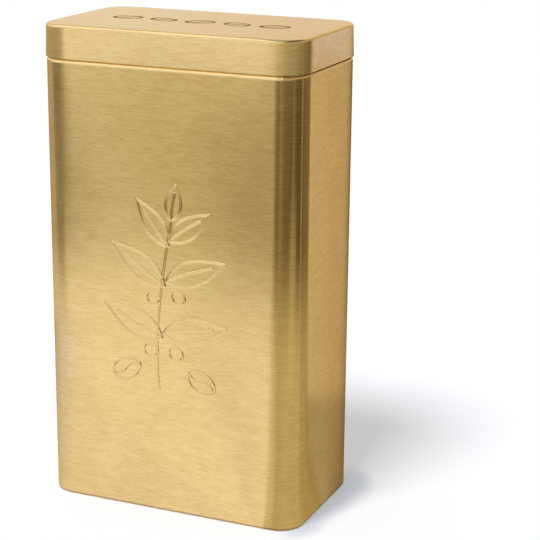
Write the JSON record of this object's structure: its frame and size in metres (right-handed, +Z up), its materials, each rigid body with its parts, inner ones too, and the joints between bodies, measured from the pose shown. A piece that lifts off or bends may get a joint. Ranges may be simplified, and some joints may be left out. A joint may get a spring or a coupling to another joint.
{
  "type": "coffee canister",
  "caption": "Tall rectangular coffee canister of brushed gold sheet metal with rounded corners and a flush slip-over lid that lifts off a stepped inner collar.",
  "frame": {"origin": "middle of the underside, on the surface that the canister stands on", "axes": "+Z up through the lid, front broad face towards -Y, +X along the broad face to the viewer's right"},
  "size_m": [0.1084, 0.0624, 0.19],
  "materials": {
    "gold_lacquer": "sheet steel brushed in fine level strokes under a clear gold lacquer, satin",
    "bare_tin": "plain bright tinplate, lightly rolled, unlacquered",
    "liner_foam": "closed-cell foam pad with a fine skin, matt white",
    "seal_compound": "soft grey sealing compound, matt"
  },
  "bodies": {
    "canister": {"body_wall": "gold_lacquer", "neck_collar": "bare_tin", "base_panel": "bare_tin", "base_seal": "seal_compound"},
    "lid": {"lid_cap": "gold_lacquer", "lid_liner": "liner_foam"}
  },
  "joints": [
    {"name": "lid_lift", "type": "slide", "parent": "canister", "child": "lid", "axis": [0, 0, 1], "range_m": [0, 0.06]}
  ]
}
